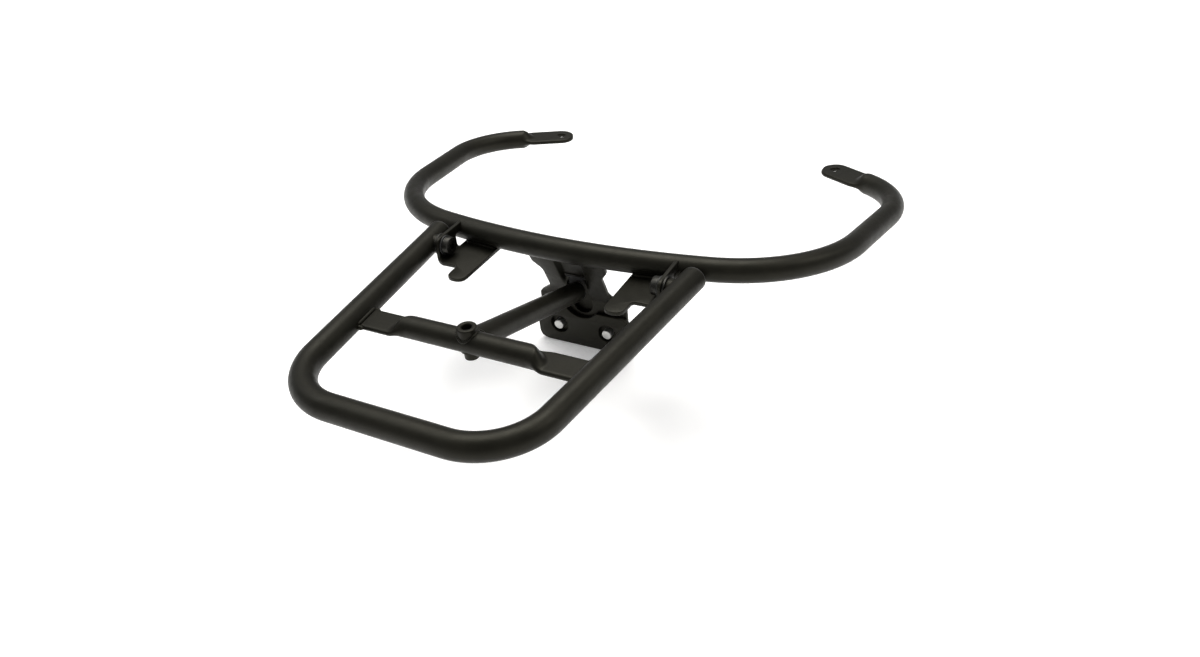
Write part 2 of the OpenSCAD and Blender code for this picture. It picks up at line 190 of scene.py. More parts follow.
class Nodes:
    """Short calls for building a node tree."""

    def __init__(self, material):
        self.tree = material.node_tree
        coordinates = self.tree.nodes.new("ShaderNodeTexCoord")
        self.place = coordinates.outputs["Object"]

    def add(self, kind, **inputs):
        node = self.tree.nodes.new(kind)
        for key, value in inputs.items():
            self.put(node.inputs[key.replace("_", " ")], value)
        return node

    def put(self, socket, value):
        if isinstance(value, bpy.types.NodeSocket):
            self.tree.links.new(value, socket)
        else:
            socket.default_value = value

    def noise(self, scale, detail=3.0, roughness=0.55):
        inputs = {"Scale": scale, "Detail": detail, "Roughness": roughness}
        return self.add("ShaderNodeTexNoise", Vector=self.place, **inputs).outputs["Fac"]

    def cells(self, scale):
        node = self.add("ShaderNodeTexVoronoi", Vector=self.place, Scale=scale)
        return node.outputs["Distance"]

    def span(self, value, low, high, to_low, to_high):
        """value from low..high brought to to_low..to_high, and held inside."""
        node = self.add("ShaderNodeMapRange", Value=value)
        names = ("From Min", "From Max", "To Min", "To Max")
        for key, number in zip(names, (low, high, to_low, to_high)):
            self.put(node.inputs[key], number)
        return node.outputs["Result"]

    def math(self, operation, a, b):
        node = self.tree.nodes.new("ShaderNodeMath")
        node.operation = operation
        self.put(node.inputs[0], a)
        self.put(node.inputs[1], b)
        return node.outputs[0]

    def mix(self, amount, a, b):
        node = self.tree.nodes.new("ShaderNodeMix")
        node.data_type = "RGBA"
        self.put(node.inputs["Factor"], amount)
        self.put(node.inputs[6], a)
        self.put(node.inputs[7], b)
        return node.outputs[2]

    def edges(self, radius):
        """1 on edges rounded tighter than radius, 0 on open faces."""
        bevel = self.add("ShaderNodeBevel", Radius=radius)
        bevel.samples = 4
        geometry = self.tree.nodes.new("ShaderNodeNewGeometry")
        dot = self.tree.nodes.new("ShaderNodeVectorMath")
        dot.operation = "DOT_PRODUCT"
        self.put(dot.inputs[0], bevel.outputs["Normal"])
        self.put(dot.inputs[1], geometry.outputs["Normal"])
        return self.span(dot.outputs["Value"], 0.985, 0.90, 0.0, 1.0)

    def bump(self, height, depth, below=None):
        node = self.add("ShaderNodeBump", Height=height, Distance=depth, Strength=1.0)
        if below is not None:
            self.put(node.inputs["Normal"], below)
        return node.outputs["Normal"]


def powder_coat():
    """Satin black powder coat: fine orange peel, faint warm unevenness, and a painted highlight that lightens
    the edges.
    """
    material, shader = new_material("black_powder_coat")
    n = Nodes(material)
    uneven = n.noise(38.0, 4.0)
    peel = n.noise(950.0, 2.0)
    grain = n.noise(3800.0, 1.0)
    # Painted highlight: the edge mask mixes the coat towards a much paler colour along the edges, standing in
    # for light caught on them; the same mask makes the edges a little glossier.
    edge_highlight_and_wear = n.math("MULTIPLY", n.edges(0.0006), n.span(n.noise(160.0, 4.0), 0.42, 0.66, 0.1, 1.0))
    deep, pale, painted_edge_highlight = (0.0040, 0.0038, 0.0027, 1), (0.0075, 0.0070, 0.0050, 1), (0.060, 0.057, 0.050, 1)
    coat = n.mix(n.span(uneven, 0.35, 0.65, 0.0, 1.0), deep, pale)
    n.put(shader.inputs["Base Color"], n.mix(n.math("MULTIPLY", edge_highlight_and_wear, 0.55), coat, painted_edge_highlight))
    rough = n.span(n.noise(120.0, 5.0, 0.65), 0.3, 0.7, 0.37, 0.50)
    n.put(shader.inputs["Roughness"], n.math("SUBTRACT", rough, n.math("MULTIPLY", edge_highlight_and_wear, 0.08)))
    shader.inputs["Specular IOR Level"].default_value = 0.2
    shader.inputs["Specular Tint"].default_value = (1.0, 0.97, 0.80, 1)
    n.put(shader.inputs["Normal"], n.bump(grain, 0.000012, n.bump(peel, 0.00006)))
    return material


def zinc_plate(name, dark, light, worn):
    """Dull zinc plate, brighter where tools and edges rub."""
    material, shader = new_material(name)
    n = Nodes(material)
    cloud = n.noise(220.0, 5.0, 0.7)
    edge_highlight_and_wear = n.math("MULTIPLY", n.edges(0.0005), n.span(n.noise(400.0), 0.4, 0.6, 0.2, 1.0))
    plate = n.mix(n.span(cloud, 0.3, 0.7, 0.0, 1.0), dark, light)
    n.put(shader.inputs["Base Color"], n.mix(edge_highlight_and_wear, plate, worn))
    shader.inputs["Metallic"].default_value = 1.0
    n.put(shader.inputs["Roughness"], n.span(cloud, 0.3, 0.7, 0.34, 0.52))
    n.put(shader.inputs["Normal"], n.bump(n.noise(2600.0, 2.0), 0.00001))
    return material


def rubber():
    """Matte black rubber with a dusty bloom."""
    material, shader = new_material("black_rubber")
    n = Nodes(material)
    bloom = n.span(n.noise(90.0, 5.0, 0.7), 0.45, 0.75, 0.0, 1.0)
    n.put(shader.inputs["Base Color"], n.mix(bloom, (0.010, 0.010, 0.010, 1), (0.030, 0.029, 0.027, 1)))
    n.put(shader.inputs["Roughness"], n.span(bloom, 0.0, 1.0, 0.72, 0.88))
    n.put(shader.inputs["Normal"], n.bump(n.noise(1500.0, 3.0), 0.00004))
    return material


def nylon():
    """Black moulded nylon with a fine spark-eroded grain."""
    material, shader = new_material("black_nylon")
    n = Nodes(material)
    tone = n.span(n.noise(70.0), 0.35, 0.65, 0.0, 1.0)
    n.put(shader.inputs["Base Color"], n.mix(tone, (0.014, 0.014, 0.014, 1), (0.021, 0.021, 0.020, 1)))
    n.put(shader.inputs["Roughness"], n.span(n.noise(300.0), 0.3, 0.7, 0.46, 0.60))
    n.put(shader.inputs["Normal"], n.bump(n.cells(2200.0), 0.00003))
    return material


# ---- Building pieces ----

def place(name, points, faces, body, slot, nodes=(), smooth=35):
    """A mesh piece from millimetre points, riding on body and standing for the CAD nodes."""
    mesh = bpy.data.meshes.new(name)
    mesh.from_pydata([tuple(c * MM for c in p) for p in points], [], faces)
    return finish_piece(name, mesh, body, slot, nodes, smooth)


def finish_piece(name, mesh, body, slot, nodes=(), smooth=35):
    work = bmesh.new()
    work.from_mesh(mesh)
    bmesh.ops.remove_doubles(work, verts=work.verts, dist=1e-6)
    bmesh.ops.recalc_face_normals(work, faces=work.faces)
    for face in work.faces:
        face.smooth = True
    work.to_mesh(mesh)
    work.free()
    mesh.set_sharp_from_angle(angle=math.radians(smooth))
    piece = bpy.data.objects.new(name, mesh)
    bpy.context.scene.collection.objects.link(piece)
    mesh.materials.append(FINISHES[slot])
    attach(piece, body)
    if nodes:
        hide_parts(*nodes)
    return piece


def along(legs, start=(0.0, 0.0), heading=0.0):
    """A plane path of (length, radius) legs: gives its length and a function of distance.

    Radius 0 is straight, a positive one turns left and a negative one right. The function
    gives x, y and the heading in radians.
    """
    total = sum(length for length, _ in legs)

    def at(distance):
        x, y, h = start[0], start[1], heading
        left = distance
        for i, (length, radius) in enumerate(legs):
            last = i == len(legs) - 1
            run = left if last else min(left, length)
            if radius:
                turned = h + run / radius
                x += radius * (math.sin(turned) - math.sin(h))
                y += radius * (math.cos(h) - math.cos(turned))
                h = turned
            else:
                x += run * math.cos(h)
                y += run * math.sin(h)
            left -= run
            if left <= 0:
                break
        return x, y, h

    return total, at


def smoothstep(low, high, value):
    t = np.clip((value - low) / (high - low), 0.0, 1.0)
    return t * t * (3.0 - 2.0 * t)


def round_section(radius):
    angle = np.arange(RING_N) * 2.0 * math.pi / RING_N
    return np.stack((radius * np.cos(angle), radius * np.sin(angle)), 1)


def flat_section(half_w, half_t):
    """RING_N points at equal steps round a flat bar with round edges."""
    straight = 2.0 * (half_w - half_t)
    girth = 2.0 * straight + 2.0 * math.pi * half_t
    points = []
    for i in range(RING_N):
        s = girth * i / RING_N
        quarter = math.pi * half_t / 2.0
        if s < quarter:
            a = s / half_t
            points.append((straight / 2 + half_t * math.cos(a), half_t * math.sin(a)))
        elif s < quarter + straight:
            points.append((straight / 2 - (s - quarter), half_t))
        elif s < 3 * quarter + straight:
            a = (s - quarter - straight) / half_t + math.pi / 2
            points.append((-straight / 2 + half_t * math.cos(a), half_t * math.sin(a)))
        elif s < 3 * quarter + 2 * straight:
            points.append((-straight / 2 + (s - 3 * quarter - straight), -half_t))
        else:
            a = (s - girth) / half_t
            points.append((straight / 2 + half_t * math.cos(a), half_t * math.sin(a)))
    return np.array(points)


def pressed(radius, half_w, half_t, offset, start, length, nose, skew=0.0, roll=0.0):
    """A section that goes from round to flat. The press leaves a rounded nose on the tube.

    The section's first axis lies across the tube in its plane. skew makes the negative side
    go flat later and the positive side earlier. roll, in degrees, turns the flat about the tube.
    """
    tube = round_section(radius)
    c, s = math.cos(math.radians(roll)), math.sin(math.radians(roll))
    turn = np.array(((c, s), (-s, c)))

    def section(distance, width=None):
        flat = flat_section(half_w if width is None else width, min(half_t, width or half_t))
        side = np.clip(np.abs(tube[:, 0]) / radius, 0.0, 1.0)
        late = nose * (1.0 - side ** 2) - skew * tube[:, 0] / radius
        amount = smoothstep(start + late, start + late + length, distance)[:, None]
        spread = smoothstep(start, start + length + nose, distance)
        mixed = np.empty_like(tube)
        mixed[:, 0] = tube[:, 0] * (1 - spread) + flat[:, 0] * spread
        mixed[:, 1] = (tube[:, 1:] * (1 - amount) + (flat[:, 1:] + offset) * amount)[:, 0]
        return mixed @ turn

    return section


def sweep(stations, plane):
    """Rings of points. A station is x, y, heading and the section there, in the plane."""
    points, faces = [], []
    for x, y, heading, section in stations:
        side = Vector((-math.sin(heading), math.cos(heading), 0))
        for u, v in section:
            points.append(plane @ (Vector((x, y, 0)) + side * u + Vector((0, 0, v))))
    rings = len(stations)
    for r in range(rings - 1):
        for i in range(RING_N):
            j = (i + 1) % RING_N
            faces.append((r * RING_N + i, r * RING_N + j, (r + 1) * RING_N + j, (r + 1) * RING_N + i))
    faces.append(tuple(range(RING_N)))
    faces.append(tuple(reversed(range((rings - 1) * RING_N, rings * RING_N))))
    return points, faces


def mirrored(half):
    """Stations of a symmetric piece, from those of its right-hand half."""
    left = []
    for x, y, heading, section in reversed(half[1:]):
        left.append((-x, y, -heading, section))
    return left + half


def steps(total, pitch, fine_from=None, fine_pitch=0.6):
    """Distances from 0 to total, closer together after fine_from."""
    values, s = [], 0.0
    while s < total:
        values.append(s)
        s += fine_pitch if fine_from is not None and s >= fine_from else pitch
    return values + [total]


def lathe(profile, axis, n=64, closed=True):
    """Points and faces of a profile of (radius, along) turned about the axis frame's Z."""
    points, faces = [], []
    for i in range(n):
        a = 2.0 * math.pi * i / n
        for radius, height in profile:
            points.append(axis @ Vector((radius * math.cos(a), radius * math.sin(a), height)))
    m = len(profile)
    for i in range(n):
        j = (i + 1) % n
        for k in range(m if closed else m - 1):
            l = (k + 1) % m
            faces.append((i * m + k, j * m + k, j * m + l, i * m + l))
    if not closed:
        for k in (0, m - 1):
            if profile[k][0] > 0:
                faces.append(tuple(i * m + k for i in range(n)))
    return points, faces


def eased_box(r_in, r_out, low, high, ease, steps_n=3):
    """The section of a ring with its edges rounded by ease."""
    out = []
    corners = (
        (r_out, low, 1, 1, -90), (r_out, high, 1, -1, 0), (r_in, high, -1, -1, 90), (r_in, low, -1, 1, 180),
    )
    for r, z, out_r, up, first in corners:
        for k in range(steps_n + 1):
            a = math.radians(first + 90.0 * k / steps_n)
            out.append((r - out_r * ease + ease * math.cos(a), z + up * ease + ease * math.sin(a)))
    return out


def hexagon(radius, depth, axis):
    points = []
    for z in (0.0, depth):
        for i in range(6):
            a = math.radians(60 * i)
            points.append(axis @ Vector((radius * math.cos(a), radius * math.sin(a), z)))
    faces = [tuple(range(6)), tuple(range(6, 12))]
    faces += [(i, (i + 1) % 6, 6 + (i + 1) % 6, 6 + i) for i in range(6)]
    return points, faces


def cut(piece, points, faces):
    """Takes a solid of millimetre points out of the piece."""
    mesh = bpy.data.meshes.new("cutter")
    mesh.from_pydata([tuple(c * MM for c in p) for p in points], [], faces)
    work = bmesh.new()
    work.from_mesh(mesh)
    bmesh.ops.recalc_face_normals(work, faces=work.faces)
    work.to_mesh(mesh)
    work.free()
    cutter = bpy.data.objects.new("cutter", mesh)
    bpy.context.scene.collection.objects.link(cutter)
    modifier = piece.modifiers.new("cut", "BOOLEAN")
    modifier.operation = "DIFFERENCE"
    modifier.solver = "EXACT"
    modifier.object = cutter
    bpy.context.view_layer.update()
    result = bpy.data.meshes.new_from_object(piece.evaluated_get(bpy.context.evaluated_depsgraph_get()))
    piece.modifiers.clear()
    piece.data = result
    result.set_sharp_from_angle(angle=math.radians(35))
    bpy.data.objects.remove(cutter)


def drilled(radius, low, high, ease, axis):
    """A cutter for a hole whose mouths are eased."""
    far = ease + 1.0
    profile = [
        (0.0, low - far), (radius + ease, low - far), (radius + ease, low - 0.001),
        (radius + 0.3 * ease, low + 0.3 * ease), (radius, low + ease), (radius, high - ease),
        (radius + 0.3 * ease, high - 0.3 * ease), (radius + ease, high + 0.001),
        (radius + ease, high + far), (0.0, high + far),
    ]
    return lathe(profile, axis, 48, closed=False)


def rounded(points, radii, n=5):
    """A closed outline with each corner rounded by its own radius."""
    out = []
    count = len(points)
    for i in range(count):
        here = Vector(points[i])
        before = (Vector(points[i - 1]) - here)
        after = (Vector(points[(i + 1) % count]) - here)
        radius = radii[i] if isinstance(radii, (list, tuple)) else radii
        before_n, after_n = before.normalized(), after.normalized()
        angle = math.acos(max(-1.0, min(1.0, before_n.dot(after_n))))
        if radius <= 0 or angle > math.radians(177):
            out.append(tuple(here))
            continue
        reach = min(radius / math.tan(angle / 2), before.length * 0.49, after.length * 0.49)
        start, end = here + before_n * reach, here + after_n * reach
        for k in range(n + 1):
            t = k / n
            out.append(tuple(start * (1 - t) ** 2 + here * 2 * t * (1 - t) + end * t ** 2))
    return out


def arc(x, y, radius, first, last, count):
    """count points of an arc from first to last degrees."""
    angles = [math.radians(first + (last - first) * i / (count - 1)) for i in range(count)]
    return [(x + radius * math.cos(a), y + radius * math.sin(a)) for a in angles]


def circle(x, y, radius, n=48):
    angles = [2 * math.pi * i / n for i in range(n)]
    return [(x + radius * math.cos(a), y + radius * math.sin(a)) for a in angles]


def pressed_sheet(name, outline, holes, thickness, ease, cuts, shape, body, slot, nodes):
    """A flat blank with eased edges, cut across where it bends, then bent by shape.

    cuts is a list of (axis, value) lines on the blank, and shape turns a blank point
    (x, y, height over the middle of the sheet) into a place in millimetres.
    """
    curve = bpy.data.curves.new(name, "CURVE")
    curve.dimensions = "2D"
    curve.fill_mode = "BOTH"
    curve.extrude = thickness / 2 - ease
    curve.bevel_depth = ease
    curve.bevel_resolution = 2
    curve.offset = -ease
    for ring in [outline] + holes:
        spline = curve.splines.new("POLY")
        spline.points.add(len(ring) - 1)
        for point, (x, y) in zip(spline.points, ring):
            point.co = (x, y, 0, 1)
        spline.use_cyclic_u = True
    holder = bpy.data.objects.new(name, curve)
    bpy.context.scene.collection.objects.link(holder)
    bpy.context.view_layer.update()
    mesh = bpy.data.meshes.new_from_object(holder.evaluated_get(bpy.context.evaluated_depsgraph_get()))
    bpy.data.objects.remove(holder)
    work = bmesh.new()
    work.from_mesh(mesh)
    bmesh.ops.remove_doubles(work, verts=work.verts, dist=1e-4)
    for axis, value in cuts:
        normal = Vector((1, 0, 0)) if axis == 0 else Vector((0, 1, 0))
        everything = work.verts[:] + work.edges[:] + work.faces[:]
        bmesh.ops.bisect_plane(work, geom=everything, dist=1e-5, plane_co=normal * value, plane_no=normal)
    for vertex in work.verts:
        vertex.co = Vector(shape(*vertex.co)) * MM
    work.to_mesh(mesh)
    work.free()
    return finish_piece(name, mesh, body, slot, nodes, smooth=32)


def bead(name, path, radius, body, ripple=1.4, closed=False):
    """A weld seam along millimetre points: overlapping scales, thinner at the ends."""
    path = [Vector(p) for p in path]
    lengths = [0.0]
    for a, b in zip(path, path[1:] + (path[:1] if closed else [])):
        lengths.append(lengths[-1] + (b - a).length)
    total = lengths[-1]
    count = max(8, int(total / 0.35))
    points, faces, around = [], [], 12
    loop = path + (path[:1] if closed else [])

    def at(s):
        s = s % total if closed else min(max(s, 0.0), total)
        for k in range(len(loop) - 1):
            if s <= lengths[k + 1] or k == len(loop) - 2:
                span = lengths[k + 1] - lengths[k] or 1.0
                return loop[k].lerp(loop[k + 1], (s - lengths[k]) / span)

    rings = count if closed else count + 1
    for i in range(rings):
        s = total * i / count
        here = at(s)
        heading = (at(s + 0.4) - at(s - 0.4)).normalized()
        side = heading.orthogonal().normalized()
        if abs(heading.z) < 0.9:
            side = heading.cross(Vector((0, 0, 1))).normalized()
        up = side.cross(heading)
        scale = (s / ripple) % 1.0
        swell = 0.90 + 0.12 * math.sin(math.pi * scale) + 0.03 * math.sin(1.7 * s)
        if not closed:
            swell *= min(1.0, 0.35 + s / radius * 0.5, 0.35 + (total - s) / radius * 0.5)
        for k in range(around):
            a = 2.0 * math.pi * k / around
            lean = heading * (0.22 * radius * math.sin(a) ** 2)
            points.append(here + (side * math.cos(a) + up * math.sin(a)) * radius * swell - lean)
    for i in range(rings if closed else rings - 1):
        j = (i + 1) % rings
        for k in range(around):
            l = (k + 1) % around
            faces.append((i * around + k, i * around + l, j * around + l, j * around + k))
    if not closed:
        faces.append(tuple(range(around)))
        faces.append(tuple(range((rings - 1) * around, rings * around)))
    return place(name, points, faces, body, "black_powder_coat", smooth=60)


def hand(side):
    return Matrix.Diagonal((side, 1, 1, 1))


# ---- Fixed part ----

RAIL_LEGS = [
    (541.6 * math.radians(12.2), 541.6),
    (105.4 * math.radians(69.2), 105.4),
    (62.1, 0),
    (70.1 * math.radians(65.6), 70.1),
    (51.8, 0),
]
END_L, END_PRESS, END_NOSE, END_ROLL = 51.8, 12.0, 6.0, 8.0
END_HALF_W, END_HALF_T = 12.4, 2.0
END_HOLE_R, END_HOLE_BACK = 4.25, 12.0


def rail_point(x, y, z):
    """A place beside the back of the rail: y forward of its centre line, z above it."""
    drift = x * x / (2 * RAIL_LEGS[0][1])
    return RAIL_PLANE @ Vector((x, drift, 0)) + Vector((0, y, z))


def grab_rail():
    total, at = along(RAIL_LEGS)
    press_from = total - END_L
    start = press_from - 5.0
    section = pressed(TUBE_R, END_HALF_W, END_HALF_T, 0.0, start, END_PRESS, END_NOSE, roll=-END_ROLL)
    half = []
    for s in steps(total - END_HALF_W, 3.0, press_from - 1.0, 0.75):
        half.append((*at(s), section(s)))
    for angle in range(6, 91, 4):
        short = END_HALF_W * (1 - math.sin(math.radians(angle)))
        width = max(END_HALF_W * math.cos(math.radians(angle)), 0.35)
        half.append((*at(total - short), section(total - short, width)))
    tube = sweep(mirrored(half), RAIL_PLANE)
    piece = place("grab_rail_tube", *tube, FIXED, "black_powder_coat", ["grab_rail"])
    x, y, h = at(total - END_HOLE_BACK)
    for side in (-1, 1):
        along_end = Vector((math.cos(h), math.sin(h), 0))
        roll = Matrix.Rotation(math.radians(-END_ROLL), 4, along_end)
        axis = hand(side) @ RAIL_PLANE @ Matrix.Translation((x, y, 0)) @ roll
        cut(piece, *drilled(END_HOLE_R, -END_HALF_T, END_HALF_T, 0.4, axis))


STRIP_TOP = (1.9, -7.5)
STRIP_BEND_Z = -57.0
STRIP_BEND_Y = STRIP_TOP[0] + (STRIP_TOP[1] - STRIP_BEND_Z) * math.tan(math.radians(STRIP_A))
PLATE_T = 4.0


def centre_bracket():
    slope = math.radians(STRIP_A)
    half_t = SHEET_T / 2
    start = (STRIP_TOP[0] + half_t * math.cos(slope), STRIP_TOP[1] + half_t * math.sin(slope))
    down = (STRIP_BEND_Y + half_t - start[0]) / math.sin(slope)
    bend_z = start[1] - down * math.cos(slope)
    radius, low_end = 6.0, 100.0
    reach = radius * math.tan(slope / 2)
    legs = [(down - reach, 0), (radius * slope, -radius), (low_end + bend_z - reach, 0)]
    total, at = along(legs, start, slope - math.pi / 2)
    bend_at = legs[0][0]
    outline = rounded([
        (-33.5, 0), (33.5, 0), (32.5, 13), (26, 22), (26, 44), (39, 55), (39, total),
        (-39, total), (-39, 55), (-26, 44), (-26, 22), (-32.5, 13),
    ], [0, 0, 5, 9, 9, 4, 9, 9, 4, 9, 9, 5])
    slot_r, slot_top, slot_low = 8.7, 38.1, 59.3
    slot = arc(0, slot_top, slot_r, 0, -180, 19) + arc(0, slot_low, slot_r, 180, 0, 19)
    stud_at, stud_hole_r = 81.8, 4.02
    holes = [slot] + [circle(side * STUD_X, stud_at, stud_hole_r) for side in (-1, 1)]
    groove_w, groove_ramp, groove_d = 8.2, 4.2, 4.0
    fade_from, fade_to = 26.0, 40.0

    def shape(x, along_sheet, height):
        y, z, h = at(along_sheet)
        groove = 1.0 - smoothstep(groove_w, groove_w + groove_ramp, abs(x))
        groove *= 1.0 - smoothstep(fade_from, fade_to, along_sheet)
        height = height + groove_d * groove
        return AT_RAIL @ Vector((x, y - height * math.sin(h), z + height * math.cos(h)))

    cuts = [(1, bend_at + legs[1][0] * k / 6) for k in range(7)]
    cuts += [(1, fade_from + (fade_to - fade_from) * k / 8) for k in range(9)]
    cuts += [(0, side * (groove_w + groove_ramp * k / 6)) for side in (-1, 1) for k in range(7)]
    pressed_sheet("centre_bracket_sheet", outline, holes, SHEET_T, 0.5, cuts, shape, FIXED,
                  "black_powder_coat", ["centre_bracket"])


def tail_plate():
    w, top, low, corner, scoop = 42.0, -67.0, -102.0, 9.0, 17.0
    dip, hole_r, ease = -56.5, 8.0, 4
    edge = math.sqrt(scoop ** 2 - (top - dip) ** 2)
    first = math.degrees(math.atan2(top - dip, edge))
    dent = arc(0, dip, scoop, first, -180 - first, 17)
    outline = [(-w, top), (-w, low), (w, low), (w, top)] + dent
    outline = rounded(outline, [corner] * 4 + [ease] + [0] * (len(dent) - 2) + [ease], 8)
    holes = [circle(side * STUD_X, -RAIL_Z, hole_r) for side in (-1, 1)]

    def shape(x, z, height):
        return AT_RAIL @ Vector((x, STRIP_BEND_Y - PLATE_T / 2 + height, z))

    pressed_sheet("tail_plate_sheet", outline, holes, PLATE_T, 0.7, [], shape, FIXED,
                  "black_powder_coat", ["tail_plate"])


def tail_studs():
    front = RAIL_BACK - STRIP_BEND_Y - SHEET_T
    behind = RAIL_BACK - STRIP_BEND_Y + PLATE_T + 1.5
    stud_r, shank_r, collar_r, stud_l, pitch, depth = 3.0, 4.0, 8.0, 14.0, 1.0, 0.45
    for side, word in ((-1, "left"), (1, "right")):
        axis = Matrix.Translation((side * STUD_X, 0, 0)) @ ALONG_Y
        collar = eased_box(shank_r + 0.05, collar_r, -front, 0.0, 0.6)
        place(f"tail_spacer_{word}_collar", *lathe(collar, axis), FIXED, "black_powder_coat",
              [f"tail_spacer_{word}"])
        shank = [(0.0, -behind), (shank_r - 0.7, -behind), (shank_r - 0.2, -behind + 0.25),
                 (shank_r, -behind + 0.8), (shank_r, -0.3), (shank_r - 0.3, 0.0), (stud_r, 0.0)]
        z = 1.0
        while z < stud_l - 1.0:
            shank += [(stud_r - depth, z), (stud_r, z + pitch / 2)]
            z += pitch
        shank += [(stud_r - 0.7, stud_l), (0.0, stud_l)]
        place(f"tail_stud_{word}_pin", *lathe(shank, axis, 48, closed=False), FIXED, "bright_zinc",
              [f"tail_stud_{word}"])


def hinge_brackets():
    base_in, base_mid, ear_mid, radius = 58.0, -10.9, EAR_OUT - SHEET_T / 2, 3.5
    ear_top, hole_r = 7.2, 5.6
    flat = ear_mid - radius - base_in
    legs = [(flat, 0), (radius * math.pi / 2, radius), (ear_top - base_mid - radius, 0)]
    total, at = along(legs, (base_in, base_mid))
    up = total - ear_top
    outline = rounded([
        (0, 5), (flat + 1, 5), (flat + 1, -6.5), (up + 0.5, -6.5), (up + 0.5, 5), (total, 5),
        (total, -30), (flat + 5, -30), (flat - 1, -33), (16, -33), (15.2, -50), (0, -50),
    ], [1, 1, 2, 2, 1, 8, 6, 4, 3, 2.5, 7.4, 7.4], 7)
    holes = [circle(up - RACK_DROP, -HINGE_BACK, hole_r)]
    cuts = [(0, flat + legs[1][0] * k / 8) for k in range(9)]
    for side, word in ((-1, "left"), (1, "right")):
        def shape(m, y, height, side=side):
            x, z, h = at(m)
            return AT_RAIL @ Vector((side * (x - height * math.sin(h)), y, z + height * math.cos(h)))

        pressed_sheet(f"hinge_bracket_{word}_sheet", outline, holes, SHEET_T, 0.5, cuts, shape, FIXED,
                      "black_powder_coat", [f"hinge_bracket_{word}"])
        axis = hand(side) @ HINGE @ ALONG_X
        flange, bore, stem, rim = EAR_IN - LINER_T, PIN_R + 0.05, hole_r - 0.05, 7.75
        liner = [(bore, flange), (rim - 0.3, flange), (rim, flange + 0.3), (rim, EAR_IN),
                 (stem, EAR_IN), (stem, EAR_OUT), (bore, EAR_OUT)]
        place(f"hinge_liner_{word}_bush", *lathe(liner, axis), FIXED, "black_nylon", [f"hinge_liner_{word}"])


def fixed_details():
    """The pocket and its buffer, which stay as CAD, and the fixed part's weld seams."""
    for node in ("strut_pocket", "strut_buffer"):
        dress(node)
    across_strip = np.linspace(-31.0, 31.0, 20)
    down_plate = np.linspace(-70.0, -96.0, 9)
    strip_edge = 39.2
    for side, word in ((-1, "left"), (1, "right")):
        xs = [side * x for x in np.linspace(60.0, 88.0, 12)]
        bead(f"bracket_weld_{word}", [rail_point(x, -5.3, -8.6) for x in xs], 1.9, FIXED)
        bead(f"bracket_front_weld_{word}", [rail_point(x, 4.2, -9.2) for x in xs], 1.6, FIXED)
        edge = [AT_RAIL @ Vector((side * strip_edge, STRIP_BEND_Y + 0.4, z)) for z in down_plate]
        bead(f"tail_plate_weld_{word}", edge, 1.5, FIXED)
    bead("strip_weld_rear", [rail_point(x, 0.9, -9.7) for x in across_strip], 1.8, FIXED)
    bead("strip_weld_front", [rail_point(x, 6.6, -7.6) for x in across_strip], 1.7, FIXED)


def dress(node):
    """A CAD node that stays: its edges are eased and it gets its finish."""
    piece = frame["nodes"][node]
    slot = next(s["material_slot"] for s in frame["record"]["subparts"] if s["node"] == node)
    weld = piece.modifiers.new("weld", "WELD")
    weld.merge_threshold = 1e-5
    ease = piece.modifiers.new("ease", "BEVEL")
    ease.width = 0.0005
    ease.segments = 2
    ease.limit_method = "ANGLE"
    ease.angle_limit = math.radians(40)
    ease.harden_normals = True
    piece.data.materials.clear()
    piece.data.materials.append(FINISHES[slot])


# ---- Folding part ----

SIDE_A = math.atan((RACK_FRONT_W - RACK_REAR_W) / RACK_REAR)
CORNER_REACH = RACK_CORNER_R * math.tan((math.pi / 2 - SIDE_A) / 2)
CORNER_X = RACK_REAR_W - CORNER_REACH
SIDE_L = (RACK_REAR - RACK_FRONT_GAP - CORNER_REACH * math.cos(SIDE_A)) / math.cos(SIDE_A)


def side_tube_x(back):
    """The side tube's centre line, that far behind the grab rail."""
    return RACK_FRONT_W - back * math.tan(SIDE_A)


def plug_profile(radius, top, lip, low, flat, dome, side):
    """A push-in plug for a tube: its domed cap from lip to top, and its stem down to low."""
    stem_r = radius - WALL - 0.05
    return [
        (0.0, top), (radius - flat, top), (radius - 0.5, top - dome), (radius - 0.1, top - side),
        (radius - 0.1, lip), (stem_r, lip), (stem_r, low), (0.0, low),
    ]


def rack_frame():
    legs = [(CORNER_X, 0), (RACK_CORNER_R * (math.pi / 2 - SIDE_A), RACK_CORNER_R), (SIDE_L - PLUG_T, 0)]
    total, at = along(legs, (0.0, -RACK_REAR))
    ring = round_section(TUBE_R)
    half = [(*at(s), ring) for s in steps(total, 3.0)]
    half.append((*at(total + 0.001), ring))
    tube = sweep(mirrored(half), RACK_PLANE)
    place("rack_frame_tube", *tube, MOVING, "black_powder_coat", ["rack_frame"])
    x, y, h = at(total)
    for side, word in ((-1, "left"), (1, "right")):
        end = Matrix.Translation((x, y, 0)) @ Matrix.Rotation(h, 4, "Z") @ ALONG_X
        axis = hand(side) @ RACK_PLANE @ end
        cap = plug_profile(TUBE_R, PLUG_T, 0.0, -6.5, 1.2, 0.25, 0.8)
        place(f"frame_plug_{word}_cap", *lathe(cap, axis, closed=False), MOVING, "black_nylon",
              [f"frame_plug_{word}"])


PADDLE_Z = -2.2
PADDLE_HALF_W = 10.75
PADDLE_HALF_T = 2.0


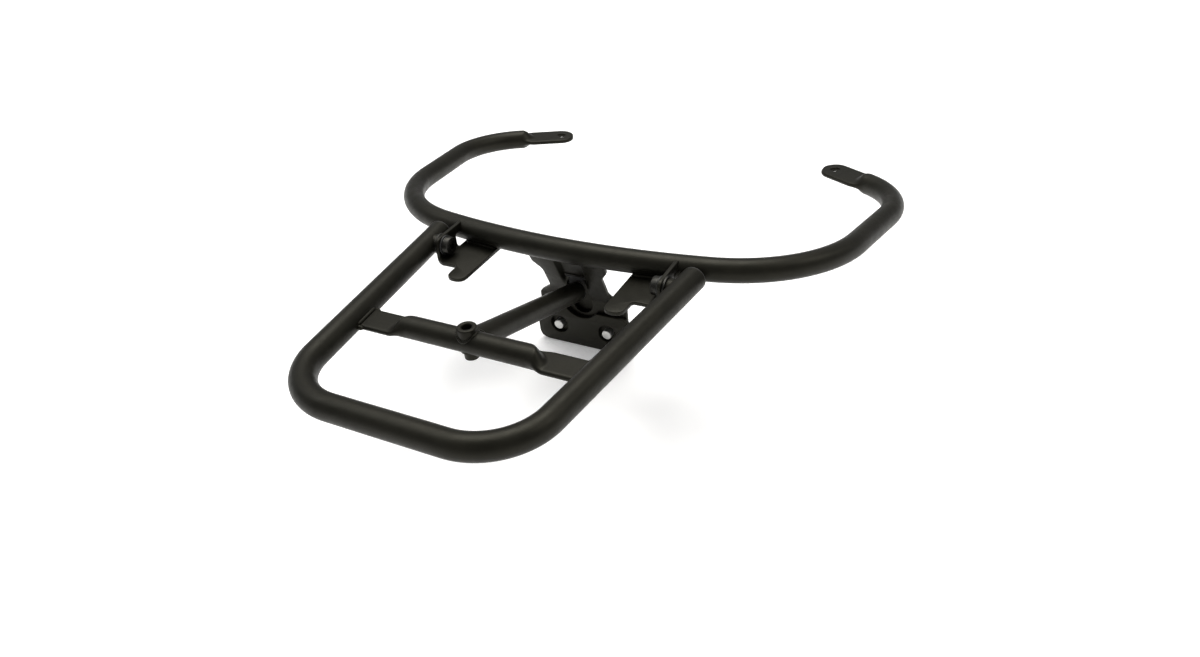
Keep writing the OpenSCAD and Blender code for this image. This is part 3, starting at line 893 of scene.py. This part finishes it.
def crossbar():
    reach, start, length, nose, skew = 91.0, 46.0, 9.0, 4.0, 5.0
    section = pressed(BAR_R, PADDLE_HALF_W, PADDLE_HALF_T, PADDLE_Z, start, length, nose, skew)
    total, at = along([(reach, 0)])
    half = [(*at(s), section(s)) for s in steps(total, 3.0, 38.0, 0.7)]
    place("crossbar_tube", *sweep(mirrored(half), CROSSBAR), MOVING, "black_powder_coat", ["crossbar"])
    for side, word in ((-1, "left"), (1, "right")):
        near = side_tube_x(BAR_BACK) - math.sqrt(TUBE_R ** 2 - (PADDLE_Z + PADDLE_HALF_T) ** 2)
        ys = np.linspace(-10.5, 10.5, 12)
        top = [CROSSBAR @ Vector((side * (near + 0.1 + y * math.tan(SIDE_A)), y, PADDLE_Z + 2.4)) for y in ys]
        bead(f"paddle_weld_{word}", top, 1.5, MOVING)
        for end in (-1, 1):
            xs = np.linspace(near - 4.0, near + 3.0, 8) + end * PADDLE_HALF_W * math.tan(SIDE_A)
            lump = [CROSSBAR @ Vector((side * x, end * (PADDLE_HALF_W + 0.2), PADDLE_Z + 0.4)) for x in xs]
            bead(f"paddle_end_weld_{word}_{'front' if end > 0 else 'rear'}", lump, 1.9, MOVING)


def boss():
    bore, half_l, r, low_r, step_z, ease = 3.4, 12.0, 6.75, 5.0, -7.0, 1.1
    corner_n = 5
    section = eased_box(bore, r, -half_l, half_l, ease, corner_n)
    stepped = [(min(radius, low_r) if z < step_z else radius, z) for radius, z in section]
    # The step comes after the points of the section's first corner, the lower outer one.
    stepped[corner_n + 1:corner_n + 1] = [(low_r, step_z), (r, step_z + 1.0)]
    place("threaded_boss_bush", *lathe(stepped, CROSSBAR), MOVING, "black_powder_coat", ["threaded_boss"])
    ring = []
    for k in range(48):
        a = 2 * math.pi * k / 48
        x, y = (r + 0.3) * math.cos(a), (r + 0.3) * math.sin(a)
        ring.append(CROSSBAR @ Vector((x, y, math.sqrt(BAR_R ** 2 - y * y))))
    bead("boss_weld", ring, 1.0, MOVING, closed=True)


def strut():
    slope = Matrix.Rotation(math.radians(-STRUT_A), 4, "X")
    axis = CROSSBAR @ slope @ ALONG_Y
    length = (BAR_BACK + STRUT_REACH) / math.cos(math.radians(STRUT_A))
    cap, stem = 2.0, 6.0
    tube = [(BAR_R - WALL, 1.0), (BAR_R, 1.0), (BAR_R, length - cap - 0.3), (BAR_R - 0.3, length - cap),
            (BAR_R - WALL, length - cap), (BAR_R - WALL, length - cap - stem)]
    place("strut_tube_bar", *lathe(tube, axis), MOVING, "black_powder_coat", ["strut_tube"])
    plug = plug_profile(BAR_R, length, length - cap, length - cap - stem, 1.3, 0.3, 0.9)
    place("strut_plug_cap", *lathe(plug, axis, closed=False), MOVING, "black_nylon", ["strut_plug"])
    for word, side in (("left", -1), ("right", 1)):
        seam = []
        for a in np.linspace(-78.0, 78.0, 22):
            c, s = math.cos(math.radians(a)), math.sin(math.radians(a))
            at_seam = Vector((side * (BAR_R + 0.3) * c, BAR_R * c + 0.4, (BAR_R + 0.3) * s))
            seam.append(CROSSBAR @ slope @ at_seam)
        bead(f"strut_weld_{word}", seam, 1.3, MOVING)


def hinge_hardware():
    head_t, head_r, thread_r, pitch, depth = 5.0, 7.0, 4.0, 1.2, 0.5
    key_r, key_depth = 3.35, 3.0
    head = EAR_IN - LINER_T - HINGE_GAP - head_t
    for side, word in ((-1, "left"), (1, "right")):
        axis = hand(side) @ HINGE @ ALONG_X
        washer = eased_box(PIN_R + 0.05, 8.5, SLEEVE_IN - WASHER_T, SLEEVE_IN, 0.25)
        place(f"hinge_washer_{word}_ring", *lathe(washer, axis), MOVING, "black_steel",
              [f"hinge_washer_{word}"])
        sleeve = eased_box(thread_r + 0.05, 7.0, SLEEVE_IN, SLEEVE_IN + 10.0, 0.3)
        place(f"hinge_sleeve_{word}_tube", *lathe(sleeve, axis), MOVING, "black_powder_coat",
              [f"hinge_sleeve_{word}"])
        shank = [(0.0, head), (head_r - 1.0, head), (head_r - 0.35, head + 0.35), (head_r, head + 1.1),
                 (head_r, head + head_t - 0.3), (head_r - 0.3, head + head_t), (PIN_R, head + head_t),
                 (PIN_R, SLEEVE_IN - 0.4), (PIN_R - 0.4, SLEEVE_IN), (thread_r, SLEEVE_IN)]
        for k in range(6):
            root = SLEEVE_IN + pitch * (k + 1)
            shank += [(thread_r, root - pitch / 2), (thread_r - depth, root)]
        shank += [(thread_r - 0.8, SLEEVE_IN + 8.0), (0.0, SLEEVE_IN + 8.0)]
        bolt = place(f"hinge_bolt_{word}_pin", *lathe(shank, axis, closed=False), MOVING, "black_steel",
                     [f"hinge_bolt_{word}"])
        cut(bolt, *hexagon(key_r, key_depth + 1.0, axis @ Matrix.Translation((0, 0, head - 1.0))))


FINISHES = {
    "black_powder_coat": powder_coat(),
    "black_steel": zinc_plate(
        "black_zinc", (0.026, 0.026, 0.024, 1), (0.050, 0.048, 0.043, 1), (0.18, 0.18, 0.17, 1)),
    "bright_zinc": zinc_plate(
        "bright_zinc", (0.56, 0.56, 0.54, 1), (0.68, 0.68, 0.66, 1), (0.80, 0.80, 0.78, 1)),
    "black_rubber": rubber(),
    "black_nylon": nylon(),
}

add_camera()
add_studio()
add_floor()
grab_rail()
centre_bracket()
tail_plate()
tail_studs()
hinge_brackets()
fixed_details()
rack_frame()
crossbar()
boss()
strut()
hinge_hardware()
